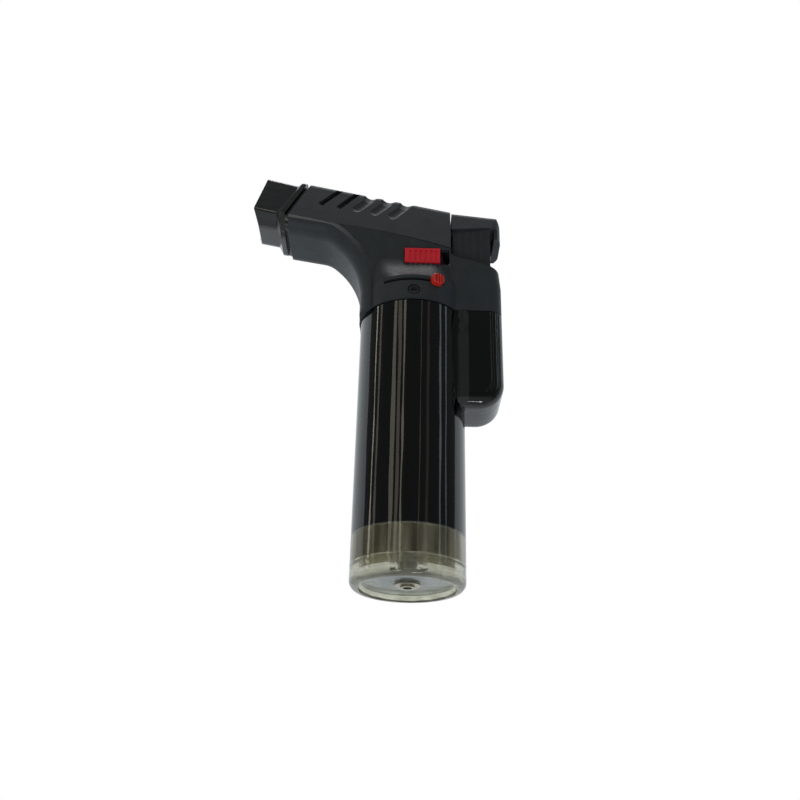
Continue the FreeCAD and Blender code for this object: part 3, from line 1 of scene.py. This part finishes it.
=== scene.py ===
"""Looks of the pocket butane torch: materials, studio and camera.

Lengths are metres in the torch's own frame: +Z up along the tank, the nozzle points to -X,
and the side with the flame adjuster and the lock slide is -Y.
"""

import json
import math

import bpy
from mathutils import Matrix, Vector


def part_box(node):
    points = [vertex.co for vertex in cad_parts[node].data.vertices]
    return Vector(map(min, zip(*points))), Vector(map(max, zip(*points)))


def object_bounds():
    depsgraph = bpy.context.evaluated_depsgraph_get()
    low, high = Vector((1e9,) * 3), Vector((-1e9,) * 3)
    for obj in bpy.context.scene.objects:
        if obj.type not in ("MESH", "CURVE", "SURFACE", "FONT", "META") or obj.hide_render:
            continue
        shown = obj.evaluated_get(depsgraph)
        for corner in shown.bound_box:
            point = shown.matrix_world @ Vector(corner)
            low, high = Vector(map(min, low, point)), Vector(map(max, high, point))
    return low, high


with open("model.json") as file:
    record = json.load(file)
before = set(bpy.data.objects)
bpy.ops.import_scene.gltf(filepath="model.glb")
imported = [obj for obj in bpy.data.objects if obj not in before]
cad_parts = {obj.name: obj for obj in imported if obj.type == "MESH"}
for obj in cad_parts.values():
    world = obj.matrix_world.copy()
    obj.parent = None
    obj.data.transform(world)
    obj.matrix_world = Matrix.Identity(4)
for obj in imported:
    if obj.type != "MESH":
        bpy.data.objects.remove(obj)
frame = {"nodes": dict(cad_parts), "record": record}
cad_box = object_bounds()

MM = 0.001

# Camera: it looks up at the torch from below, square to the side with the controls.
CAMERA_PLACE = Vector((-0.0039, -0.2909, -0.0760))
CAMERA_RISE = math.radians(26.36)
CAMERA_ROLL = math.radians(1.44)
CAMERA_LENS = 41.2
CAMERA_SENSOR = 36
CAMERA_NEAR = 0.01

# Room light: white behind the torch and below it, dim in front of it, all with one faint tint.
BACKDROP_WHITE = 0.85
FRONT_GREY = 0.15
BELOW_WHITE = 0.5
HORIZON_Y = 0.21
HORIZON_SOFTNESS = 0.02
BELOW_FROM = -0.25
BELOW_FULL = -0.75
ROOM_TINT = (0.94, 1.0, 1.04, 1)

# Floor, just under the foot.
FLOOR_SPAN = 3.0
FLOOR_DROP = 0.02 * MM
FLOOR_WHITE = (0.93, 0.93, 0.93, 1)

# Softboxes: all aim at one point, and the upright strips share one height, distance and length.
AIM = Vector((0, 0, 80 * MM))
STRIP_HEIGHT = 0.32
STRIP_DISTANCE = 0.6
STRIP_LENGTH = 0.50

# The Mix node's colour sockets, which have the same names as its number sockets.
MIX_COLOUR_ONE = 6
MIX_COLOUR_TWO = 7
MIX_COLOUR_OUT = 2


# ---------------------------------------------------------------- node materials

def map_range(nodes, links, source, start, end, low, high):
    """Map Range node that runs from low to high as the source runs from start to end."""
    span = nodes.new("ShaderNodeMapRange")
    limits = {"From Min": start, "From Max": end, "To Min": low, "To Max": high}
    for socket, value in limits.items():
        span.inputs[socket].default_value = value
    links.new(source, span.inputs["Value"])
    return span


class Look:
    """A node material around one Principled shader."""

    def __init__(self, name, **sockets):
        self.material = bpy.data.materials.new(name)
        self.material.use_nodes = True
        self.nodes = self.material.node_tree.nodes
        self.links = self.material.node_tree.links
        self.shader = self.nodes["Principled BSDF"]
        self.coordinates = self.nodes.new("ShaderNodeTexCoord").outputs["Object"]
        for socket, value in sockets.items():
            self.shader.inputs[socket.replace("_", " ")].default_value = value

    def scaled(self, stretch):
        """Object coordinates, multiplied along each axis."""
        mapping = self.nodes.new("ShaderNodeMapping")
        mapping.inputs["Scale"].default_value = stretch
        self.links.new(self.coordinates, mapping.inputs["Vector"])
        return mapping.outputs["Vector"]

    def noise(self, size, detail=3.0, stretch=(1, 1, 1)):
        """Noise whose features are about size metres across, longer where stretch is below 1."""
        noise = self.nodes.new("ShaderNodeTexNoise")
        noise.inputs["Scale"].default_value = 1 / size
        noise.inputs["Detail"].default_value = detail
        self.links.new(self.scaled(stretch), noise.inputs["Vector"])
        return noise.outputs["Fac"]

    def ramp(self, factor, *stops):
        """Colour ramp through (position, colour) stops."""
        ramp = self.nodes.new("ShaderNodeValToRGB")
        elements = ramp.color_ramp.elements
        while len(elements) < len(stops):
            elements.new(0.5)
        for element, (position, colour) in zip(elements, stops):
            element.position = position
            element.color = (*colour, 1)
        self.links.new(factor, ramp.inputs["Fac"])
        return ramp.outputs["Color"]

    def between(self, factor, low, high, low_at=0.3, high_at=0.7):
        """A number that runs from low to high as the factor runs between two marks."""
        span = map_range(self.nodes, self.links, factor, low_at, high_at, low, high)
        return span.outputs["Result"]

    def height_share(self, start, end):
        """0 below the first height on the part, 1 above the second."""
        split = self.nodes.new("ShaderNodeSeparateXYZ")
        self.links.new(self.coordinates, split.inputs["Vector"])
        return self.between(split.outputs["Z"], 0, 1, start, end)

    def radius_share(self, start, end):
        """0 nearer to the tank's axis than the first radius, 1 beyond the second."""
        length = self.nodes.new("ShaderNodeVectorMath")
        length.operation = "LENGTH"
        self.links.new(self.scaled((1, 1, 0)), length.inputs[0])
        return self.between(length.outputs["Value"], 0, 1, start, end)

    def larger(self, one, two):
        """The larger of two numbers."""
        pick = self.nodes.new("ShaderNodeMath")
        pick.operation = "MAXIMUM"
        self.links.new(one, pick.inputs[0])
        self.links.new(two, pick.inputs[1])
        return pick.outputs["Value"]

    def blend(self, share, one, two):
        """Mix of two colour outputs: the first where share is 0, the second where it is 1."""
        mix = self.nodes.new("ShaderNodeMix")
        mix.data_type = "RGBA"
        self.links.new(share, mix.inputs["Factor"])
        self.links.new(one, mix.inputs[MIX_COLOUR_ONE])
        self.links.new(two, mix.inputs[MIX_COLOUR_TWO])
        return mix.outputs[MIX_COLOUR_OUT]

    def bump(self, height, depth, strength):
        """Relief of the given depth in metres."""
        bump = self.nodes.new("ShaderNodeBump")
        bump.inputs["Distance"].default_value = depth
        bump.inputs["Strength"].default_value = strength
        self.links.new(height, bump.inputs["Height"])
        self.links.new(bump.outputs["Normal"], self.shader.inputs["Normal"])

    def feed(self, socket, output):
        """Links a node's output to one of the shader's sockets."""
        self.links.new(output, self.shader.inputs[socket])


def grey(level, warmth=0.0):
    """A grey of one brightness, warmer or cooler by a share of it."""
    return (level * (1 + warmth), level, level * (1 - warmth))


def black_abs():
    """Matt black ABS with a fine spark-eroded grain."""
    look = Look("black_abs", Specular_IOR_Level=0.16)
    tone = look.noise(6 * MM)
    dark = (0.036, 0.042, 0.046)
    light = (0.044, 0.050, 0.054)
    look.feed("Base Color", look.ramp(tone, (0.3, dark), (0.7, light)))
    look.feed("Roughness", look.between(look.noise(1.5 * MM), 0.38, 0.48))
    look.bump(look.noise(0.35 * MM, detail=4.0), 0.05 * MM, 0.6)
    return look.material


def black_gloss():
    """Polished black plastic of the nozzle guard and its ring, with faint handling marks."""
    look = Look("black_gloss", Coat_Weight=0.4, Coat_Roughness=0.05)
    tone = look.noise(5 * MM)
    marks = look.noise(2 * MM, stretch=(0.3, 1, 1))
    look.feed("Base Color", look.ramp(tone, (0.3, grey(0.008)), (0.7, grey(0.012))))
    look.feed("Roughness", look.between(marks, 0.16, 0.26))
    look.bump(look.noise(1.6 * MM), 0.02 * MM, 0.5)
    return look.material


def smoked_clear():
    """Smoked acrylic of the tank: painted near-black shade above the base's skirt, olive where it
    overlaps it.

    The skirt's top edge is painted into the wall's colour as a thin light line, a painted
    highlight.
    """
    look = Look("smoked_clear", IOR=1.49, Roughness=0.03)
    skirt_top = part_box("base_cap")[1].z
    # Painted highlight: the light band along the skirt's top edge.
    painted_edge_highlight = (0.80, 0.77, 0.64)
    # Painted shade: above the skirt the wall is coloured near black, standing in for the shade
    # inside the tank.
    painted_shade_black = (0.012, 0.011, 0.010)

    upright = look.noise(3.5 * MM, detail=2.0, stretch=(1, 1, 0.06))
    streaks = look.ramp(
        upright, (0.36, (0.20, 0.18, 0.11)), (0.5, (0.42, 0.39, 0.27)), (0.64, (0.66, 0.62, 0.47)))
    # The ramp paints the highlight band at the skirt's top edge, then the near-black painted shade
    # above it.
    edge = look.height_share(skirt_top - 0.35 * MM, skirt_top + 0.25 * MM)
    line = look.ramp(edge, (0.0, painted_edge_highlight), (0.5, painted_edge_highlight), (0.9, painted_shade_black))
    above_skirt = look.height_share(skirt_top - 0.4 * MM, skirt_top - 0.3 * MM)
    look.feed("Base Color", look.blend(above_skirt, streaks, line))

    clearer = look.height_share(skirt_top - 0.3 * MM, skirt_top + 0.2 * MM)
    look.feed("Transmission Weight", look.ramp(clearer, (0, grey(0.75)), (1, grey(1.0))))
    look.bump(look.noise(5 * MM, detail=2.0, stretch=(1, 1, 0.08)), 0.2 * MM, 0.6)
    return look.material


def base_clear():
    """Light smoked acrylic of the base: wavy from moulding, frosted and bluish in its recess."""
    look = Look("base_clear", Transmission_Weight=0.85, IOR=1.49)
    beyond_recess = look.radius_share(14.8 * MM, 15.2 * MM)
    above_recess = look.height_share(2.4 * MM, 2.8 * MM)
    outside = look.larger(beyond_recess, above_recess)
    olive = look.ramp(look.noise(6 * MM, stretch=(1, 1, 2.5)),
                      (0.35, (0.56, 0.54, 0.40)), (0.65, (0.84, 0.82, 0.68)))
    frosted = look.ramp(look.noise(5 * MM),
                        (0.35, (0.22, 0.25, 0.25)), (0.65, (0.48, 0.53, 0.53)))
    look.feed("Base Color", look.blend(outside, frosted, olive))
    look.feed("Roughness", look.between(outside, 0.20, 0.03, 0, 1))
    look.bump(look.noise(3 * MM, detail=2.0, stretch=(1, 1, 2.0)), 0.2 * MM, 0.7)
    return look.material


def coloured_plastic(name, dark, light, roughness):
    """Satin moulded plastic of one colour, slightly uneven."""
    look = Look(name, Coat_Weight=0.1, Coat_Roughness=0.3)
    wear = look.noise(0.8 * MM)
    look.feed("Base Color", look.ramp(look.noise(2 * MM), (0.3, dark), (0.7, light)))
    look.feed("Roughness", look.between(wear, roughness - 0.05, roughness + 0.08))
    look.bump(look.noise(0.3 * MM), 0.02 * MM, 0.5)
    return look.material


def metal(name, dark, light, roughness):
    """Turned or brushed metal: fine scratches across the part, uneven roughness."""
    look = Look(name, Metallic=1.0)
    grain = (1, 1, 12)
    scratches = look.noise(1 * MM, stretch=grain)
    look.feed("Base Color", look.ramp(look.noise(3 * MM), (0.3, dark), (0.7, light)))
    look.feed("Roughness", look.between(scratches, roughness - 0.08, roughness + 0.1))
    look.bump(look.noise(0.25 * MM, stretch=grain), 0.01 * MM, 0.5)
    return look.material


def dull_material(name, dark, light, roughness, size):
    """Rubber, silicone, ceramic, plain plastic or felt, with mottling of the given size."""
    look = Look(name)
    patches = look.noise(size * 2)
    look.feed("Base Color", look.ramp(look.noise(size), (0.3, dark), (0.7, light)))
    look.feed("Roughness", look.between(patches, roughness - 0.08, roughness + 0.08))
    look.bump(look.noise(size * 0.5), 0.05 * MM, 0.5)
    return look.material


def make_looks():
    """One material for each slot of the record."""
    return {
        "black_abs": black_abs(),
        "black_gloss": black_gloss(),
        "smoked_clear": smoked_clear(),
        "base_clear": base_clear(),
        "red_plastic": coloured_plastic(
            "red_plastic", (0.78, 0.012, 0.030), (0.88, 0.018, 0.042), 0.42),
        "orange_plastic": coloured_plastic(
            "orange_plastic", (0.62, 0.018, 0.008), (0.70, 0.026, 0.011), 0.38),
        "brass": metal("brass", (0.36, 0.34, 0.27), (0.46, 0.43, 0.34), 0.38),
        "steel": metal("steel", grey(0.42), grey(0.58), 0.3),
        "black_steel": metal("black_steel", grey(0.045), grey(0.08), 0.35),
        "rubber": dull_material("rubber", grey(0.02), grey(0.035), 0.7, 1 * MM),
        "silicone": dull_material("silicone", grey(0.62), grey(0.72), 0.45, 2 * MM),
        "ceramic": dull_material("ceramic", grey(0.72, 0.03), grey(0.82, 0.03), 0.55, 1 * MM),
        "white_plastic": dull_material(
            "white_plastic", grey(0.70, 0.02), grey(0.78, 0.02), 0.45, 3 * MM),
        "lead_insulation": dull_material(
            "lead_insulation", (0.08, 0.01, 0.01), (0.11, 0.014, 0.013), 0.45, 2 * MM),
        "felt": dull_material("felt", grey(0.6, 0.08), grey(0.75, 0.08), 0.9, 0.4 * MM),
    }


def dress(looks):
    """Gives every CAD node the material of its slot."""
    for part in frame["record"]["subparts"]:
        mesh = frame["nodes"][part["node"]].data
        mesh.materials.clear()
        mesh.materials.append(looks[part["material_slot"]])


# ---------------------------------------------------------------- studio

def studio_world():
    """White surroundings behind and below the torch, dim ones in front; the camera sees white."""
    world = bpy.data.worlds.new("studio")
    world.use_nodes = True
    bpy.context.scene.world = world
    nodes, links = world.node_tree.nodes, world.node_tree.links
    nodes.clear()
    coordinates = nodes.new("ShaderNodeTexCoord")
    split = nodes.new("ShaderNodeSeparateXYZ")
    links.new(coordinates.outputs["Generated"], split.inputs["Vector"])

    def fade(axis, start, end, low, high):
        """Smooth run from low to high across the room, along one world axis."""
        span = map_range(nodes, links, split.outputs[axis], start, end, low, high)
        span.interpolation_type = "SMOOTHSTEP"
        return span.outputs["Result"]

    behind = fade("Y", HORIZON_Y - HORIZON_SOFTNESS, HORIZON_Y + HORIZON_SOFTNESS,
                  FRONT_GREY, BACKDROP_WHITE)
    below = fade("Z", BELOW_FROM, BELOW_FULL, 0.0, BELOW_WHITE)
    brighter = nodes.new("ShaderNodeMath")
    brighter.operation = "MAXIMUM"
    links.new(behind, brighter.inputs[0])
    links.new(below, brighter.inputs[1])
    room = nodes.new("ShaderNodeBackground")
    room.inputs["Color"].default_value = ROOM_TINT
    links.new(brighter.outputs["Value"], room.inputs["Strength"])
    white = nodes.new("ShaderNodeBackground")
    white.inputs["Color"].default_value = (1, 1, 1, 1)
    seen = nodes.new("ShaderNodeLightPath")
    mix = nodes.new("ShaderNodeMixShader")
    links.new(seen.outputs["Is Camera Ray"], mix.inputs["Fac"])
    links.new(room.outputs["Background"], mix.inputs[1])
    links.new(white.outputs["Background"], mix.inputs[2])
    output = nodes.new("ShaderNodeOutputWorld")
    links.new(mix.outputs["Shader"], output.inputs["Surface"])


def floor():
    """Pale floor under the torch, see-through from below and to every ray but the camera's."""
    height = cad_box[0].z - FLOOR_DROP
    bpy.ops.mesh.primitive_plane_add(size=FLOOR_SPAN, location=(0, 0, height))
    plane = bpy.context.object
    plane.name = "studio_floor"
    material = bpy.data.materials.new("studio_floor")
    material.use_nodes = True
    nodes, links = material.node_tree.nodes, material.node_tree.links
    shader = nodes["Principled BSDF"]
    shader.inputs["Base Color"].default_value = FLOOR_WHITE
    shader.inputs["Roughness"].default_value = 0.9
    side = nodes.new("ShaderNodeNewGeometry")
    seen = nodes.new("ShaderNodeLightPath")
    front = nodes.new("ShaderNodeMath")
    front.operation = "SUBTRACT"
    front.use_clamp = True
    links.new(seen.outputs["Is Camera Ray"], front.inputs[0])
    links.new(side.outputs["Backfacing"], front.inputs[1])
    clear = nodes.new("ShaderNodeBsdfTransparent")
    mix = nodes.new("ShaderNodeMixShader")
    links.new(front.outputs["Value"], mix.inputs["Fac"])
    links.new(clear.outputs["BSDF"], mix.inputs[1])
    links.new(shader.outputs["BSDF"], mix.inputs[2])
    links.new(mix.outputs["Shader"], nodes["Material Output"].inputs["Surface"])
    plane.data.materials.append(material)


def softbox(name, azimuth, height, distance, width, length, radiance, colour=(1, 1, 1)):
    """Rectangular softbox. Azimuth 0 is in front of the controls and turns towards +X."""
    data = bpy.data.lights.new(name, "AREA")
    data.shape = "RECTANGLE"
    data.size = width
    data.size_y = length
    data.energy = math.pi * radiance * width * length
    data.color = colour
    light = bpy.data.objects.new(name, data)
    angle = math.radians(azimuth)
    light.location = (distance * math.sin(angle), -distance * math.cos(angle), height)
    light.rotation_mode = "QUATERNION"
    light.rotation_quaternion = (AIM - light.location).to_track_quat("-Z", "Y")
    bpy.context.collection.objects.link(light)


def lights():
    """One softbox overhead, two below, and upright strips whose reflections streak the tank."""
    olive = (1, 0.95, 0.78)
    brown = (1, 0.84, 0.68)
    cool = (0.78, 0.93, 1)
    # Name, azimuth, width, radiance and colour.
    strips = (
        ("left_edge", -84, 0.030, 3.2, olive),
        ("left_strip", -72, 0.060, 1.0, olive),
        ("window_left", -38, 0.080, 1.5, olive),
        ("window_middle", -27, 0.070, 1.0, olive),
        ("window_right", -17, 0.040, 1.9, olive),
        ("front_gap", 19, 0.020, 0.6, olive),
        ("right_gap", 34, 0.050, 0.3, brown),
        ("right_strip", 62, 0.050, 1.4, cool),
        ("right_edge", 76, 0.030, 1.2, cool),
    )
    softbox("overhead", -20, 1.00, 0.02, 0.60, 0.14, 8.0)
    for name, azimuth, width, radiance, colour in strips:
        softbox(name, azimuth, STRIP_HEIGHT, STRIP_DISTANCE, width, STRIP_LENGTH, radiance, colour)
    softbox("below_left", -22, -0.40, 0.50, 0.16, 0.12, 9.0)
    softbox("below_right", 35, -0.60, 0.25, 0.12, 0.12, 9.0)


def camera():
    """The main camera, from CAMERA_PLACE."""
    data = bpy.data.cameras.new("camera")
    data.lens = CAMERA_LENS
    data.sensor_width = CAMERA_SENSOR
    data.clip_start = CAMERA_NEAR
    item = bpy.data.objects.new("camera", data)
    bpy.context.collection.objects.link(item)
    rise = Matrix.Rotation(math.radians(90) + CAMERA_RISE, 4, "X")
    roll = Matrix.Rotation(CAMERA_ROLL, 4, "Z")
    item.matrix_world = Matrix.Translation(CAMERA_PLACE) @ rise @ roll
    bpy.context.scene.camera = item


dress(make_looks())
studio_world()
floor()
lights()
camera()
bpy.context.scene.view_settings.view_transform = "Standard"
